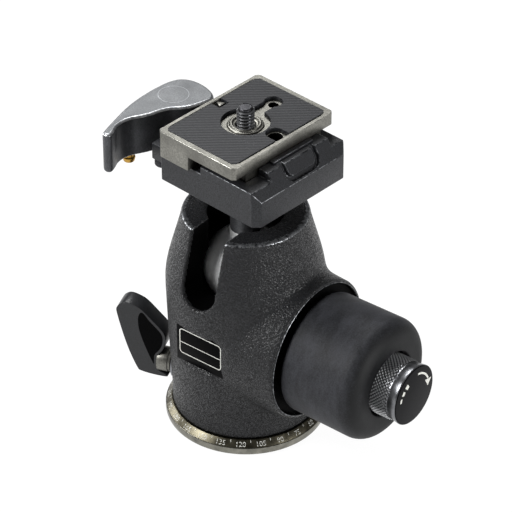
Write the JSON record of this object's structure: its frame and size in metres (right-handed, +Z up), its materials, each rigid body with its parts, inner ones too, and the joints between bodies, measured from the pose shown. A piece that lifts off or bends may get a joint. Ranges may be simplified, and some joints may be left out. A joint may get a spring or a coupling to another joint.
{
  "type": "tripod ball head",
  "caption": "Tripod ball head: slotted housing on a scaled pan base, big side locking knob, pan lock wing and a lever clamp with a quick-release camera plate.",
  "frame": {"origin": "middle of the base's underside, where the tripod's stud enters", "axes": "+Z up towards the camera screw, +X along the locking knob's shaft, -Y towards the neck slot"},
  "size_m": [0.1224, 0.0594, 0.1315],
  "materials": {
    "base_metal": "satin",
    "ring_metal": "satin",
    "brass": "satin",
    "housing_paint": "fine texture",
    "polymer": "satin",
    "label_black": "satin",
    "steel": "satin",
    "ball_metal": "polished",
    "rubber": "matte",
    "knurl_metal": "satin",
    "cap_black": "satin",
    "wing_plastic": "satin",
    "clamp_paint": "speckled satin",
    "lever_metal": "satin",
    "plate_metal": "satin",
    "pad_rubber": "matte"
  },
  "bodies": {
    "base": {"base_plate": "base_metal", "tripod_bush": "brass", "scale_ring": "ring_metal", "pan_washer": "steel", "pan_washer_screws": "steel"},
    "housing": {"housing": "housing_paint", "seat_ring": "polymer", "label_plate": "label_black", "knob_bush": "brass", "boss_ring": "cap_black", "pan_bush": "steel"},
    "cup": {"ball_cup": "polymer"},
    "ball": {"ball": "ball_metal", "stem_collar": "base_metal"},
    "piston": {"lock_piston": "steel", "piston_seal": "rubber"},
    "locking_knob": {"knob_core": "wing_plastic", "knob_rubber": "rubber", "lock_spindle": "steel"},
    "friction_dial": {"friction_knob": "knurl_metal", "friction_cap": "cap_black", "friction_spindle": "steel"},
    "pan_lock": {"pan_wing": "wing_plastic", "pan_spindle": "steel", "pan_collar": "steel"},
    "clamp": {"clamp_body": "clamp_paint", "clamp_screw": "steel", "lever_pin": "steel", "rail_bar": "clamp_paint", "lever_stop": "rubber"},
    "lever": {"clamp_lever": "lever_metal", "lever_bush": "brass", "lever_badge": "lever_metal"},
    "pin": {"safety_pin": "brass"},
    "plate": {"quick_plate": "plate_metal", "plate_pad": "pad_rubber", "plate_arrow": "plate_metal", "screw_retainer": "steel"},
    "screw": {"camera_screw": "steel", "screw_ring": "steel"}
  },
  "joints": [
    {"name": "pan", "type": "hinge", "parent": "base", "child": "housing", "pos_m": [0, 0, 0.0052], "axis": [0, 0, 1], "continuous": true},
    {"name": "side_tilt", "type": "hinge", "parent": "housing", "child": "cup", "pos_m": [0, 0, 0.064], "axis": [0, 1, 0], "range_deg": [-12, 12]},
    {"name": "slot_tilt", "type": "hinge", "parent": "cup", "child": "ball", "pos_m": [0, 0, 0.064], "axis": [1, 0, 0], "range_deg": [-12, 80]},
    {"name": "ball_spin", "type": "hinge", "parent": "ball", "child": "clamp", "pos_m": [0, 0, 0.1027], "axis": [0, 0, 1], "continuous": true},
    {"name": "locking_knob_turn", "type": "hinge", "parent": "housing", "child": "locking_knob", "pos_m": [0.033, 0, 0.0409], "axis": [1, 0, 0], "range_deg": [-270, 0]},
    {"name": "piston_slide", "type": "slide", "parent": "housing", "child": "piston", "axis": [-1, 0, 0], "range_m": [0, 0.0012]},
    {"name": "friction_dial_turn", "type": "hinge", "parent": "locking_knob", "child": "friction_dial", "pos_m": [0.066, 0, 0.0409], "axis": [1, 0, 0], "continuous": true},
    {"name": "pan_lock_turn", "type": "hinge", "parent": "housing", "child": "pan_lock", "pos_m": [-0.02819, -0.01026, 0.014], "axis": [-0.9397, -0.342, 0], "range_deg": [-60, 0]},
    {"name": "lever_swing", "type": "hinge", "parent": "clamp", "child": "lever", "pos_m": [-0.0324, 0.00835, 0.103], "axis": [0, 0, 1], "range_deg": [-95, 0]},
    {"name": "safety_pin_press", "type": "slide", "parent": "lever", "child": "pin", "axis": [0, 0, 1], "range_m": [0, 0.0012], "stiffness_N_per_m": 300, "springref_m": -0.0005},
    {"name": "plate_lift", "type": "slide", "parent": "clamp", "child": "plate", "axis": [0, 0, 1], "range_m": [0, 0.014]},
    {"name": "camera_screw_turn", "type": "hinge", "parent": "plate", "child": "screw", "pos_m": [0, 0, 0.1245], "axis": [0, 0, 1], "continuous": true}
  ],
  "couplings": [
    {"joint": "piston_slide", "follows": "locking_knob_turn", "m_per_rad": -0.0002546}
  ]
}
